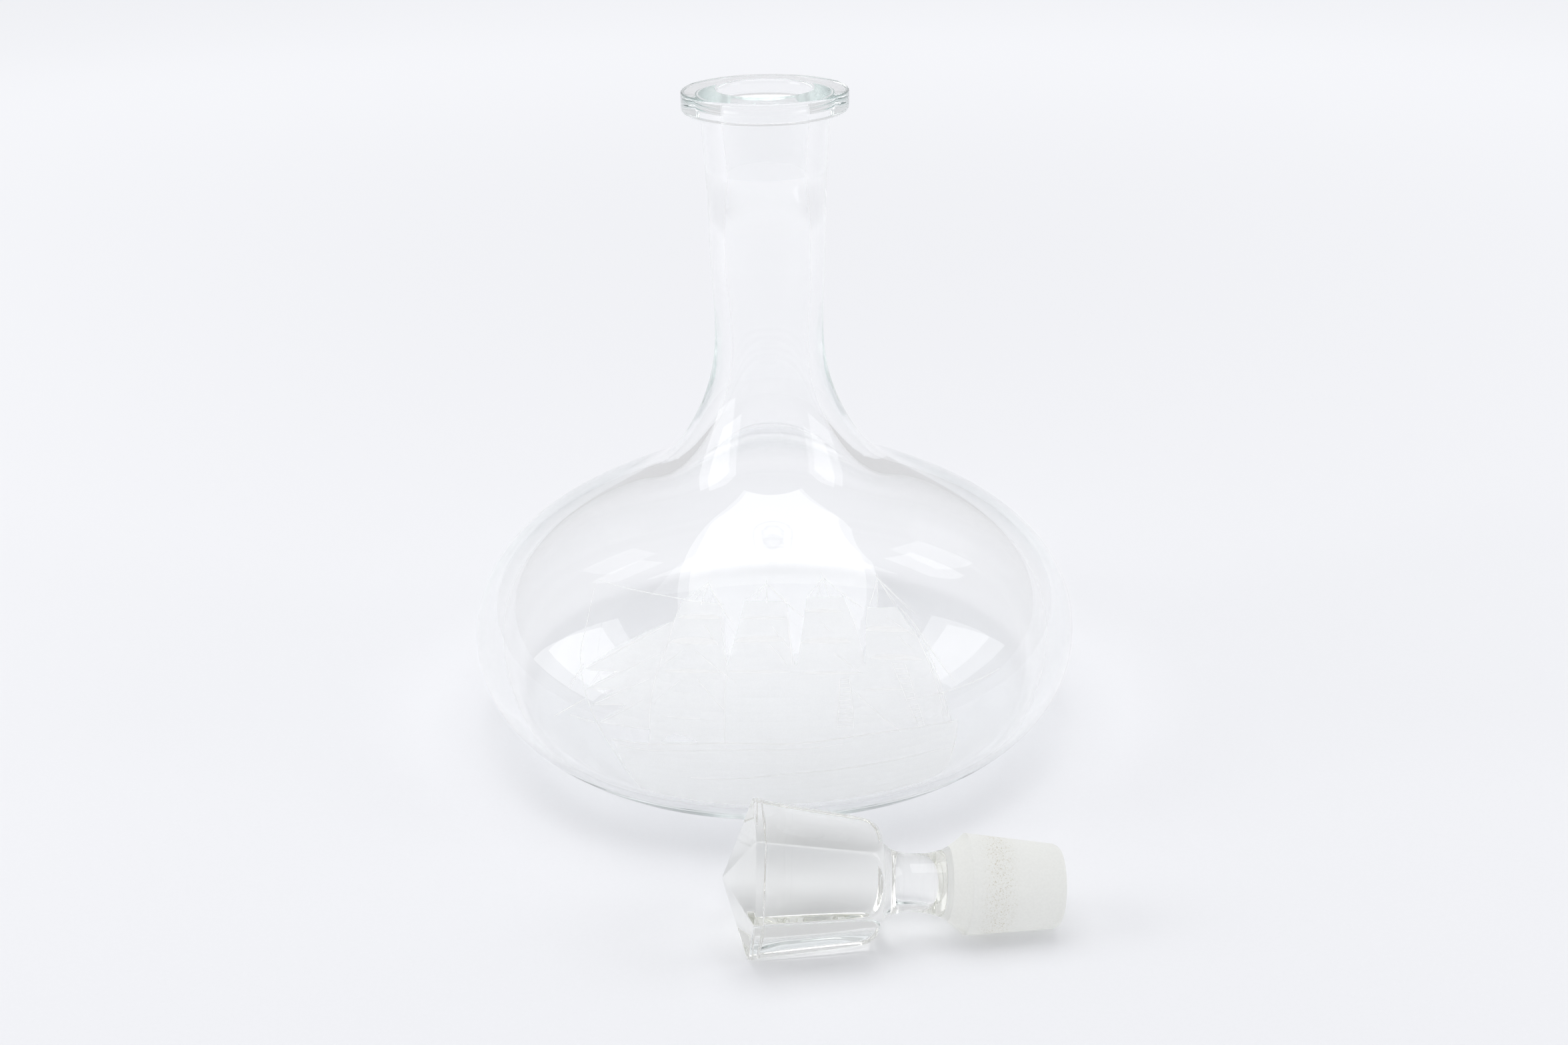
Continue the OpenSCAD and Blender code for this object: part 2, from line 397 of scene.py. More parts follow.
def lip_outline():
    """The lip, from the fillet under it round to the mouth; its top is very slightly crowned."""
    under = LIP_Z - LIP_T
    mouth = np.array((SOCKET_R + MOUTH_W, MOUTH_Z))
    socket = np.array((SOCKET_R, MOUTH_Z - MOUTH_ROUND))
    return np.vstack([
        arc((NECK_TOP_R + LIP_FILLET, under - LIP_FILLET), LIP_FILLET, FILLET_START, 90, FILLET_STEPS),
        arc((LIP_R - LIP_EDGE_LOW, under + LIP_EDGE_LOW), LIP_EDGE_LOW, -90, 0, LOW_STEPS),
        arc((LIP_R - LIP_EDGE_TOP, LIP_Z - LIP_EDGE_TOP), LIP_EDGE_TOP, 0, 90, TOP_STEPS),
        [(LIP_R - TOP_IN[0], LIP_Z + TOP_RISE[0]), (LIP_R - TOP_IN[1], MOUTH_Z - TOP_RISE[1])],
        mouth,
        bezier(mouth, mouth - (MOUTH_REACH[0], 0), socket + (0, MOUTH_REACH[1]), socket, MOUTH_STEPS),
    ])


def inner_outline(n):
    """Inside of the glass, from the ground socket down to the floor of the bowl."""
    hollow = SHOULDER + SHOULDER_WALL * INWARD
    equator = np.array((BOWL_R - BOWL_WALL, EQUATOR_Z - EQUATOR_DROP))
    floor = np.array((BASE_R - FLOOR_IN, FLOOR_T))
    mouth = np.array((SOCKET_R, MOUTH_Z - MOUTH_ROUND))
    line = np.vstack([
        mouth + np.linspace(0, 1, SOCKET_ROWS + 1)[1:, None] * (SOCKET_END - mouth),
        bezier(SOCKET_END, SOCKET_END - (0, RELIEF_REACH), BORE_TOP + (0, RELIEF_REACH), BORE_TOP,
               RELIEF_STEPS),
        BORE_TOP + np.linspace(0, 1, BORE_STEPS + 1)[1:, None] * (BORE_LOW - BORE_TOP),
        bezier(BORE_LOW, BORE_LOW - (0, WAIST_REACH), hollow + HOLLOW_REACH * UP_SLOPE, hollow,
               int(SHOULDER_STEPS * n)),
        bezier(hollow, hollow - INNER_SHOULDER_REACH * UP_SLOPE, equator + (0, INNER_CROWN_REACH), equator,
               int(CROWN_STEPS * n)),
        bezier(equator, equator - (0, INNER_BELLY_REACH), floor + (INNER_BASE_REACH, 0), floor, n),
    ])
    return fair(fair(line, hollow, FAIR_REACH), equator, FAIR_REACH)


def flat_rows(radii, z):
    return np.array([(r, z) for r in radii], float)


# ---------------------------------------------------------------- turned meshes

COLUMNS = 240


def turn(rows, azimuths):
    """Points of rows (radius, height) turned round the axis; azimuth 0 is the front, -Y."""
    r, z = rows[:, 0][:, None], rows[:, 1][:, None]
    x = r * np.sin(azimuths)
    y = -r * np.cos(azimuths)
    return np.stack([x, y, np.broadcast_to(z, x.shape)], 2)


def ring_faces(row, columns):
    """Quads between one ring of points and the next."""
    a = row * columns
    b = a + columns
    return [(a + j, a + (j + 1) % columns, b + (j + 1) % columns, b + j) for j in range(columns)]


def cap_faces(start, columns, pole, closes_end):
    """Triangles from a ring to one point on the axis."""
    ring = [start + j for j in range(columns)]
    pairs = [(ring[j], ring[(j + 1) % columns]) for j in range(columns)]
    return [(a, b, pole) if closes_end else (b, a, pole) for a, b in pairs]


def build_mesh(name, points, faces, mat, normals=None):
    """points in millimetres; normals, if any, is one vector for each face corner, zero for automatic."""
    mesh = bpy.data.meshes.new(name)
    mesh.from_pydata((np.asarray(points) * MM).tolist(), [], faces)
    mesh.polygons.foreach_set("use_smooth", np.ones(len(faces), bool))
    mesh.materials.append(mat)
    if normals is not None:
        mesh.normals_split_custom_set(normals)
    mesh.update()
    return add_object(name, mesh)


# ---------------------------------------------------------------- the engraved ship
# Drawn flat: across is millimetres of arc at the bowl's widest ring, positive to the right, and up is
# millimetres along the glass above that ring. The bow is on the left.

LINE_W = 0.42
FINE_W = 0.28
LINE_DEPTH = 0.018
BELLY_DEPTH = 0.05
FOOT_DEPTH = 0.03
# A stroke's ends are this share of its full width: plain cuts, and a sail's billow
BLUNT, POINTED = 0.35, 0.05
# Steps along strokes, along the hull's outline and along the edges of matted areas
STEP = 1.3
HULL_STEP = 4
EDGE_STEP = 2.5
# Share of a ladder's height left bare at each end
LADDER_END = 0.04

# Top of each mast, then the left end, right end and height of the head of its sails
MASTS = (
    ((-31, 60.5), (-39, -22, 51.5)),
    ((-3, 61.5), (-12, 6, 53.5)),
    ((24.5, 62.5), (15, 31, 54)),
    ((50.5, 58.5), (39, 51.5, 47)),
)
# Each sail's billow: the left and right end of its straight foot, and how high it swells
BILLOWS = (
    ((-38, 45), (-21.5, 46.5), 1.6), ((-38, 36.5), (-20, 38), 2.1), ((-36.5, 27.5), (-18, 29), 1.0),
    ((-12.5, 47), (5, 47), 0.8), ((-14, 39), (4.5, 39.5), 2.0), ((-14.5, 29.5), (5.5, 29.5), 0.7),
    ((13.5, 49), (28, 47.5), 1.1), ((10, 38.5), (28, 37), 1.9), ((9, 29), (29, 27), 0.6),
    ((35, 40), (51, 36.5), 1.9), ((33.5, 31), (51, 27), 1.6), ((29, 22), (41.5, 20), 0.5),
)
# Tack, clew and head of each jib
JIBS = (
    ((-65.5, 22), (-53, 24.5), (-40, 43.5)),
    ((-62, 17), (-50.5, 19.5), (-40, 32.5)),
    ((-58.5, 13), (-47, 15.5), (-41, 24.5)),
    ((-55, 8.5), (-38, 10), (-41, 18)),
)
SHEER = ((-50, 4.5), (-38, 5.5), (-15, 8.5), (6, 8.5), (27, 9), (45, 8), (57.5, 6.5))
KEEL = ((-42, -12), (-25, -13.2), (-7, -13.6), (25, -12.5), (50, -11.8), (54.5, -8.5))
RAIL = ((-48, 3), (-38, 3.5), (-14, 6.5), (6, 6.7), (20, 7.2))
# Outline of the matted cloth: over the four stacks of sails, down to the rail and back along the jibs
CLOTH = (
    (-39, 51.3), (-22, 51.8), (-19.5, 42), (-16, 31.5), (-15.5, 31.5), (-13.8, 42), (-12.2, 53.2),
    (6, 53.2), (6.3, 42), (7.2, 31.5), (7.8, 31.5), (10.8, 42), (15, 54.3),
    (31, 53), (31.6, 42), (30.8, 29), (31.6, 31.5), (35.8, 42), (39, 47.5),
    (51.3, 45.3), (53, 33), (54.2, 19), (55.5, 6.4), (27, 8.8), (6, 8.2), (-15, 8.2), (-38, 5.2),
    (-37.8, 9.8), (-55, 8.5), (-47, 15.5), (-58.5, 13), (-50.5, 19.5), (-62, 17), (-53, 24.5),
    (-65.5, 22), (-58.5, 30), (-48.5, 38.5), (-39.5, 43.8),
)
CLEAR_LENS = ((-34, 6.8), (-32.5, 8.6), (-29.5, 9.6), (-26, 9.6), (-22.5, 8.2))
CURVES = (
    ((-84, 48.5), (-74.5, 36), (-69.5, 26), (-62, 15.5), (-50, 1), (-46, -5.5), (-42, -12)),
    ((-84, 49.5), (-50, 51.5), (-21, 51.5)),
    ((-40, 51), (-38.5, 36), (-39, 28), (-38.8, 18), (-37.8, 10)),
    ((-21.5, 51), (-16, 32), (-15.5, 23), (-14.5, 7)),
    ((41, 16.5), (54, 16), (66.5, 15.7), (78.5, 16)),
    ((-25, -3.6), (-12.5, -3), (5, -1), (38.5, -0.6), (54.5, -1.4)),
    ((53, 45), (53, 27.5), (52.6, 7.7)),
    ((54, 42.5), (54.5, 25), (54, 8)),
    ((52, 45.5), (54.5, 38.5), (56, 28), (59.5, 18)),
    ((57.5, 6.5), (56.5, -0.7), (54.5, -8)),
)
STRAIGHTS = (
    ((6, 50.5), (6.2, 31.5)), ((-73, 5), (-61.5, 14)), ((-66.5, 7.5), (-55.5, 8)),
    ((-69, 15.5), (-66.5, 23.5)), ((-68.5, 15), (-66, 22.5)), ((-27, 44), (-20, 37.5)),
    ((-27.5, 35), (-12.5, 26.5)), ((-0.5, 44.5), (5.5, 37)), ((-1.5, 38.5), (5, 31.5)),
    ((19, 44.5), (21.5, 41.5)), ((21, 34.5), (28.5, 27.5)), ((46, 36), (49, 31)),
    ((25, 22), (38, 8)), ((-32, 35), (-38, 28.5)), ((-30.5, 25.5), (-38, 17.5)), ((-25, 26.5), (-15, 18)),
    ((-22.5, 15), (-34, 14.5)), ((45, 43), (52, 35)), ((52, 22.5), (55, 25)),
)
# Upper and lower end of a ladder's two ropes, and the number of its rungs
LADDERS = (
    (((21.5, 26.5), (18.5, 12)), ((24.5, 26.5), (23.5, 11.5)), 12),
    (((40, 28.5), (41.5, 16.5)), ((44.5, 27.5), (44.5, 16.5)), 8),
    (((42, 15), (44, 8)), ((45, 15), (46, 8)), 6),
)


def smooth_line(points, step=STEP):
    """Points every step along a curve through the given ones."""
    p = np.array(points, float)
    if len(p) == 2:
        count = max(2, math.ceil(np.linalg.norm(p[1] - p[0]) / step))
        return p[0] + np.linspace(0, 1, count + 1)[:, None] * (p[1] - p[0])
    ends = np.vstack([2 * p[0] - p[1], p, 2 * p[-1] - p[-2]])
    line = [p[:1]]
    for i in range(1, len(p)):
        a, b, c, d = ends[i - 1:i + 3]
        count = max(2, math.ceil(np.linalg.norm(c - b) / step))
        line.append(bezier(b, b + (c - a) / 6, c - (d - b) / 6, c, count))
    return np.vstack(line)


def stroke(points, width=FINE_W, depth=LINE_DEPTH, blunt=BLUNT):
    """One cut of the wheel: its centre line, half widths and depth."""
    line = smooth_line(points)
    belly = np.sqrt(np.clip(np.sin(np.pi * np.linspace(0, 1, len(line))), 0, 1))
    return dict(line=line, half=width / 2 * (blunt + (1 - blunt) * belly), depth=depth)


def billow(left, right, height):
    """A crescent with a straight foot, and the deeper line of the yard along that foot."""
    swell = stroke((left, right), height, BELLY_DEPTH, POINTED)
    swell["line"] = swell["line"] + np.stack([0 * swell["half"], swell["half"]], 1)
    return [swell, stroke((left, right), LINE_W, FOOT_DEPTH)]


# Where a mast's ropes end, from the left or right end of the head of its sails; how far below the
# mast's top they start, and how far the mast leans and reaches below the sails' head
LEFT_ROPES = ((0.3, 0), (4.4, 0))
RIGHT_ROPES = ((0.5, -0.8), (4.5, -5), (6.2, -6.5))
ROPE_START = 1.5
MAST_LEAN, MAST_BELOW = 0.4, 1


def stays(top, head):
    """A mast above its sails and the ropes that spread from it to the sails' head."""
    across, up = top
    left, right, height = head
    feet = [(left + x, height + y) for x, y in LEFT_ROPES] + [(right + x, height + y) for x, y in RIGHT_ROPES]
    mast = stroke((top, (across + MAST_LEAN, height - MAST_BELOW)), LINE_W)
    return [mast] + [stroke(((across, up - ROPE_START), foot)) for foot in feet]


def ladder(left, right, rungs):
    made = [stroke(left), stroke(right)]
    for t in np.linspace(LADDER_END, 1 - LADDER_END, rungs):
        ends = [tuple(np.array(top) + t * (np.array(low) - np.array(top))) for top, low in (left, right)]
        made.append(stroke(ends))
    return made


def ship_strokes():
    made = [cut for mast in MASTS for cut in stays(*mast)]
    made += [cut for sail in BILLOWS for cut in billow(*sail)]
    made += [cut for ropes in LADDERS for cut in ladder(*ropes)]
    for tack, clew, head in JIBS:
        made.append(stroke((tack, head)))
        made.append(stroke((tack, clew)))
    made.append(stroke(SHEER, LINE_W))
    made.append(stroke(RAIL))
    made.append(stroke(KEEL))
    made += [stroke(line) for line in CURVES + STRAIGHTS]
    return made


def ship_areas():
    """Closed outlines that the engraver matted, the cloth and the hull, and those left clear in them."""
    hull = list(smooth_line(SHEER, HULL_STEP)) + list(smooth_line(KEEL, HULL_STEP))[::-1]
    return [list(CLOTH), hull], [list(CLEAR_LENS)]


# ---------------------------------------------------------------- decanter

# The rectangle of the wall that carries the ship: first and last column from the front, and from and
# to this far up the glass
PATCH_LEFT, PATCH_RIGHT = -36, 33
PATCH_LOW, PATCH_HIGH = -20, 70
CLEAR, MATTED, CUT = 0, 1, 2
# For the triangulation: the whole rectangle is kept, and points this close become one
KEEP_ALL, MERGE_WITHIN = 0, 1e-4
# The scattering films lie this far off the glass and are this thick
FILM_GAP = 0.015
FILM_T = 0.02
# Radii of the rings under the base, from the middle out, and over the floor, from the wall in
BASE_ROWS = (14, 28, 40, 50)
FLOOR_ROWS = (36, 26, 14)
CURVE_STEPS = 26
SHEET_STEPS = 400


class Wall:
    """The outside of the bowl as a sheet: across and up in millimetres to a point and its normal."""

    def __init__(self):
        line = outer_outline(SHEET_STEPS)
        steps = np.hypot(*np.diff(line, axis=0).T)
        self.length = np.concatenate([[0], np.cumsum(steps)])
        self.line = line
        slope = np.gradient(line, self.length, axis=0)
        self.normal = np.stack([slope[:, 1], -slope[:, 0]], 1)
        self.zero = self.up_of(EQUATOR_Z, 0)

    def up_of(self, z, zero=None):
        """How far up the glass a height is, from the widest ring or from another zero."""
        return np.interp(z, self.line[:, 1], self.length) - (self.zero if zero is None else zero)

    def at(self, across, up, sink):
        azimuth = across / BOWL_R
        length = up + self.zero
        r, z, nr, nz = (np.interp(length, self.length, v) for v in (*self.line.T, *self.normal.T))
        size = np.hypot(nr, nz)
        nr, nz = nr / size, nz / size
        r, z = r - sink * nr, z - sink * nz
        point = np.stack([r * np.sin(azimuth), -r * np.cos(azimuth), z], -1)
        normal = np.stack([nr * np.sin(azimuth), -nr * np.cos(azimuth), nz], -1)
        return point, normal


def ribbon(cut):
    """The two edges of a stroke as one closed outline."""
    line, half = cut["line"], cut["half"][:, None]
    along = np.gradient(line, axis=0)
    along /= np.linalg.norm(along, axis=1)[:, None]
    side = np.stack([-along[:, 1], along[:, 0]], 1)
    return np.vstack([line + side * half, (line - side * half)[::-1]])


def counter_clockwise(outline):
    """The same outline, turned round if it runs clockwise."""
    p = np.array([tuple(v)[:2] for v in outline])
    area = (p[:, 0] * np.roll(p[:, 1], -1) - np.roll(p[:, 0], -1) * p[:, 1]).sum()
    return p if area > 0 else p[::-1]


def cut_depth(points, cuts):
    """How deep the wheel went at each point: deepest on a stroke's centre line, nothing at its edges."""
    depth = np.zeros(len(points))
    for cut in cuts:
        line, half = cut["line"], cut["half"]
        low, high = line.min(0) - half.max(), line.max(0) + half.max()
        near = np.nonzero(((points >= low) & (points <= high)).all(1))[0]
        if not len(near):
            continue
        p = points[near][:, None]
        a, b = line[None, :-1], line[None, 1:]
        t = np.clip(((p - a) * (b - a)).sum(2) / ((b - a) ** 2).sum(2), 0, 1)
        gap = np.linalg.norm(p - a - t[..., None] * (b - a), axis=2)
        wide = half[None, :-1] + t * (half[1:] - half[:-1])[None]
        share = np.clip(1 - gap / wide, 0, 1) * wide / half.max()
        depth[near] = np.maximum(depth[near], cut["depth"] * share.max(1))
    return depth


def engrave(grid, cuts, areas, clear):
    """Triangles over a rectangle of the wall that follow every stroke and matted area.
    grid is (index, across, up) of the wall's own points. Returns the new points in the drawing, the
    triangles (indices of grid points, or -1 - n for new point n), and which are strokes or matted."""
    index = grid[0]
    verts = [Vector(p) for p in zip(grid[1].ravel(), grid[2].ravel())]
    rows, columns = index.shape
    at = np.arange(index.size).reshape(index.shape)
    rim = np.concatenate([at[0, :], at[1:, -1], at[-1, -2::-1], at[-2:0:-1, 0]])
    edges = [(int(a), int(b)) for a, b in zip(rim, np.roll(rim, -1))]
    outlines = []
    for cut in cuts:
        start = len(verts)
        verts += [Vector(p) for p in counter_clockwise(ribbon(cut))]
        outlines.append(list(range(start, len(verts))))
        start = len(verts)
        verts += [Vector(p) for p in cut["line"]]
        edges += [(i, i + 1) for i in range(start, len(verts) - 1)]
    for area in areas + clear:
        start = len(verts)
        closed = list(counter_clockwise(area))
        closed.append(closed[0])
        for a, b in zip(closed, closed[1:]):
            verts += [Vector(p) for p in smooth_line((a, b), EDGE_STEP)[:-1]]
        outlines.append(list(range(start, len(verts))))
    made = delaunay_2d_cdt(verts, edges, outlines, KEEP_ALL, MERGE_WITHIN, True)
    out_verts, _, out_faces, from_verts, _, from_faces = made
    places = np.array([tuple(v) for v in out_verts])
    names = []
    fresh = []
    for n, sources in enumerate(from_verts):
        own = [s for s in sources if s < index.size]
        if own:
            names.append(int(index.ravel()[own[0]]))
        else:
            names.append(-1 - len(fresh))
            fresh.append(n)
    kinds = []
    first_clear = len(cuts) + len(areas)
    for sources in from_faces:
        if any(s < len(cuts) for s in sources):
            kinds.append(CUT)
        elif sources and max(sources) < first_clear:
            kinds.append(MATTED)
        else:
            kinds.append(CLEAR)
    triangles = [[names[v] for v in face] for face in out_faces]
    return places[fresh], triangles, kinds


# Waves round the axis, their height in millimetres and their turn; they sway slowly with height
RIPPLES = ((3, 0.05, 0.4), (5, 0.03, 1.9), (8, 0.015, 3.1))
SWAY, SWAY_OVER = 0.6, 17.0
# The ripples set in over this height below the socket, and die out inside this radius
RIPPLE_FROM, RIPPLE_R = 8, 12


def ripple(points):
    """Unevenness of the inside, left by blowing and by pulling the neck, in millimetres."""
    azimuth = np.arctan2(points[..., 0], -points[..., 1])
    height = points[..., 2]
    sway = SWAY * np.sin(height / SWAY_OVER)
    return sum(size * np.cos(k * azimuth + turn_by + sway) for k, size, turn_by in RIPPLES)


def make_decanter(glass, lines_film, matte_film, socket_film):
    """The decanter's glass with the ship cut into its front, and the films that lie on it."""
    wall = Wall()
    outer = outer_outline(CURVE_STEPS)
    inner = inner_outline(CURVE_STEPS)
    rows = np.vstack([
        flat_rows(BASE_ROWS, 0), outer, lip_outline(), inner, flat_rows(FLOOR_ROWS, FLOOR_T),
    ])
    azimuths = np.radians(np.arange(COLUMNS) * 360 / COLUMNS)
    points = turn(rows, azimuths)
    inside = len(rows) - len(inner) - len(FLOOR_ROWS)
    bore = points[inside:]
    radius = np.hypot(bore[..., 0], bore[..., 1])
    fade = np.clip((SOCKET_END[1] - bore[..., 2]) / RIPPLE_FROM, 0, 1) * np.clip(radius / RIPPLE_R, 0, 1)
    bore[..., :2] *= (1 + fade * ripple(bore) / radius)[..., None]

    # The points of every row, then the two poles, then the drawing's new points
    flat = points.reshape(-1, 3)
    base_pole = len(flat)
    floor_pole = base_pole + 1
    first_new = base_pole + 2
    ups = wall.up_of(rows[:, 1])
    is_outer = np.zeros(len(rows), bool)
    is_outer[len(BASE_ROWS):len(BASE_ROWS) + len(outer)] = True
    chosen = np.nonzero(is_outer & (ups > PATCH_LOW) & (ups < PATCH_HIGH))[0]
    turns = np.arange(PATCH_LEFT, PATCH_RIGHT + 1)
    index = chosen[:, None] * COLUMNS + (turns % COLUMNS)[None]
    across = np.radians(turns * 360 / COLUMNS) * BOWL_R
    grid = (index, np.broadcast_to(across, index.shape), np.broadcast_to(ups[chosen][:, None], index.shape))
    cuts = ship_strokes()
    new_places, triangles, kinds = engrave(grid, cuts, *ship_areas())

    own = {int(i): k for k, i in enumerate(index.ravel())}
    grid_places = np.stack([grid[1].ravel(), grid[2].ravel()], 1)
    all_places = np.vstack([grid_places, new_places])
    depth = cut_depth(all_places, cuts)
    sunk, normals = wall.at(all_places[:, 0], all_places[:, 1], depth)
    flat = np.vstack([flat, [(0, 0, 0), (0, 0, FLOOR_T)], sunk[len(grid_places):]])
    flat[index.ravel()] = sunk[:len(grid_places)]

    def local(v):
        """Place in the drawing of a triangle's point."""
        return own[v] if v >= 0 else len(grid_places) - 1 - v

    def vertex(v):
        """Place in the whole mesh of a triangle's point."""
        return v if v >= 0 else first_new - 1 - v

    skipped = {(r, c % COLUMNS) for r in chosen[:-1] for c in turns[:-1]}
    faces = []
    for row in range(len(rows) - 1):
        for c, quad in enumerate(ring_faces(row, COLUMNS)):
            if (row, c) not in skipped:
                faces.append(quad)
    faces += cap_faces(0, COLUMNS, base_pole, False)
    faces += cap_faces((len(rows) - 1) * COLUMNS, COLUMNS, floor_pole, True)
    corner_normals = [(0, 0, 0)] * sum(len(f) for f in faces)
    patch = [tuple(vertex(v) for v in tri) for tri in triangles]
    for tri, kind in zip(triangles, kinds):
        if kind == CUT:
            a, b, c = (sunk[local(v)] for v in tri)
            n = np.cross(b - a, c - a)
            n = n / (np.linalg.norm(n) or 1)
            corner_normals += [tuple(n)] * 3
        else:
            corner_normals += [tuple(normals[local(v)]) for v in tri]
    body = build_mesh("decanter_glass", flat, faces + patch, glass, corner_normals)

    films = []
    for name, kind, mat in (("ship_lines", CUT, lines_film), ("ship_frosting", MATTED, matte_film)):
        chosen_tris = [[local(v) for v in tri] for tri, k in zip(triangles, kinds) if k == kind]
        used = sorted({v for tri in chosen_tris for v in tri})
        place = {v: k for k, v in enumerate(used)}
        lifted = sunk[used] + FILM_GAP * normals[used]
        film = build_mesh(name, lifted, [tuple(place[v] for v in tri) for tri in chosen_tris], mat)
        film.data.shade_flat()
        thicken = film.modifiers.new("film", "SOLIDIFY")
        thicken.thickness = FILM_T * MM
        thicken.offset = 1
        films.append(film)
    socket = turn(inner[:SOCKET_ROWS] - (FILM_GAP, 0), azimuths)
    rings = [quad for row in range(SOCKET_ROWS - 1) for quad in ring_faces(row, COLUMNS)]
    films.append(build_mesh("ground_socket", socket.reshape(-1, 3), rings, socket_film))
    return body, films


# ---------------------------------------------------------------- stopper

HEAD_APOTHEM = 19.31
PYRAMID_H = 7.9
BAND_W = 2.2
BAND_STEP = 0.4
FACET_LEN = 32.6
FACET_END = 14.98
SHANK_R = 8.1
PLUG_AT = 57.7
PLUG_R = 14.1
PLUG_LEN = 26.8
PLUG_END_R = 11.6
FROST_AT = 52.5
TIP_BREAK = 0.3
PLUG_EDGE = 1.8
# The band's lower edge falls to the long facets by this much a millimetre
STEP_FALL = 1.2
# How softly the pyramid meets the band, one facet the next, and the facets the turned shoulder
BAND_SOFT, CORNER_SOFT, ROUND_SOFT = 0.12, 0.22, 0.1
# The long facets are slightly hollow: depth, length over which it sets in, and where and over what
# length it fades before the facets' end
DISH, DISH_IN, DISH_STOP, DISH_FADE = 0.16, 6, 4, 8
# The shoulder starts to round this far before the facets' end, at this radius, and is fully turned
# this far past it
ROUND_LEN, ROUND_R, ROUND_PAST = 8, 18.32, 6
# End of that shoulder and waist of the shank, past the facets' end
HEAD_END, HEAD_END_R = 0.9, 13.2
SHANK_AT = 10.4
# Handles of the shoulder, the fillet under it and the hollow above the plug
ROUND_FROM, ROUND_TO = (5, -0.6), (-0.5, 3.8)
FILLET_FROM, FILLET_TO = (0.7, -3.6), (-5, 0)
HOLLOW_FROM, HOLLOW_TO = (7.4, 0), (-4.2, -4)
ROUND_STEPS, HOLLOW_STEPS = 16, 18
# Rings after the tip, over the pyramid, about the band's upper edge, along the band and the facets
TIP_RINGS = (0.36, 0.5, 0.8)
PYRAMID_FROM, PYRAMID_TO, PYRAMID_RINGS = 1.2, 0.5, 14
EDGE_RINGS = (-0.3, -0.15, 0, 0.15, 0.3)
BAND_RINGS = (-1.6, -1.1, -0.6, -0.3, -0.15, -0.05, 0.05, 0.15, 0.25, 0.35, 0.5, 0.7)
FACET_FROM, FACET_RINGS = 1.2, 22
# Rings just under the plug's top edge, down its taper and over its end
EDGE_DROPS = ((0.35, -0.02), (1.2, -0.11))
TAPER_END, TAPER_RINGS = 0.17, 16
EDGE_START, EDGE_STEPS = 80, 7
END_RINGS = (8.0, 4.0)
# Half the angles between one corner and the next, in degrees
CORNER_ANGLES = (0, 0.35, 0.8, 1.4, 2.2, 3.4, 5.2, 7.8, 11, 14.5, 18.5, 22.5, 26.5)
REST_YAW = 3.5
REST_TILT = math.degrees(math.atan((HEAD_APOTHEM - PLUG_R) / PLUG_AT))
# The glass and the ground film over its plug lie this far inside the stopper's own outline
SKIN, FROST_SKIN = 0.06, 0.03
# The stain lies between these distances from the plug's end, and the plug's end this far from the
# stopper's nearest edge
STAIN_FROM, STAIN_TO = 25, 13
REST_BACK = 20


def soft_min(a, b, width):
    """The smaller of two sizes, rounded over where they meet."""
    return np.minimum(a, b) - width * np.log1p(np.exp(-np.abs(a - b) / width))


def facet_reach(s):
    """Half the size of the head across its flats, at a distance s from the band."""
    pyramid = HEAD_APOTHEM * (s + BAND_W + PYRAMID_H) / PYRAMID_H
    slope = (FACET_END - HEAD_APOTHEM + BAND_STEP) / (FACET_LEN - BAND_STEP)
    facet = HEAD_APOTHEM - BAND_STEP + slope * (np.minimum(s, FACET_LEN) - BAND_STEP)
    step = np.maximum(HEAD_APOTHEM - np.maximum(s, 0) * STEP_FALL, facet)
    return soft_min(pyramid, np.where(s > 0, step, HEAD_APOTHEM), BAND_SOFT)


def stopper_rows():
    """(distance along the axis, turned radius) of every ring, from the tip to the plug's end."""
    tip = -PYRAMID_H - BAND_W
    head = np.concatenate([
        tip + np.array(TIP_RINGS),
        np.linspace(tip + PYRAMID_FROM, -BAND_W - PYRAMID_TO, PYRAMID_RINGS),
        np.array(EDGE_RINGS) - BAND_W,
        BAND_RINGS,
        np.linspace(FACET_FROM, FACET_LEN - ROUND_LEN, FACET_RINGS),
    ])
    corner = facet_reach(head) / math.cos(math.radians(30))
    start = np.array((FACET_LEN - ROUND_LEN, ROUND_R))
    end = np.array((FACET_LEN + HEAD_END, HEAD_END_R))
    waist = np.array((FACET_LEN + SHANK_AT, SHANK_R))
    top = np.array((PLUG_AT, PLUG_R))
    low = np.array((PLUG_AT + PLUG_LEN, PLUG_END_R))
    return np.vstack([
        np.stack([head, corner], 1),
        bezier(start, start + ROUND_FROM, end + ROUND_TO, end, ROUND_STEPS),
        bezier(end, end + FILLET_FROM, waist + FILLET_TO, waist, ROUND_STEPS),
        bezier(waist, waist + HOLLOW_FROM, top + HOLLOW_TO, top, HOLLOW_STEPS),
        top + EDGE_DROPS[0],
        np.linspace(top + EDGE_DROPS[1], low + (-PLUG_EDGE, TAPER_END), TAPER_RINGS),
        arc(low - PLUG_EDGE, PLUG_EDGE, EDGE_START, 0, EDGE_STEPS),
        [(low[0], radius) for radius in END_RINGS],
    ])


def stopper_angles():
    """Angles round the axis, closer together at the six corners."""
    near = np.array(CORNER_ANGLES)
    sector = np.concatenate([near, [30], 60 - near[:0:-1]])
    return np.radians(np.concatenate([sector + 60 * k for k in range(6)]))


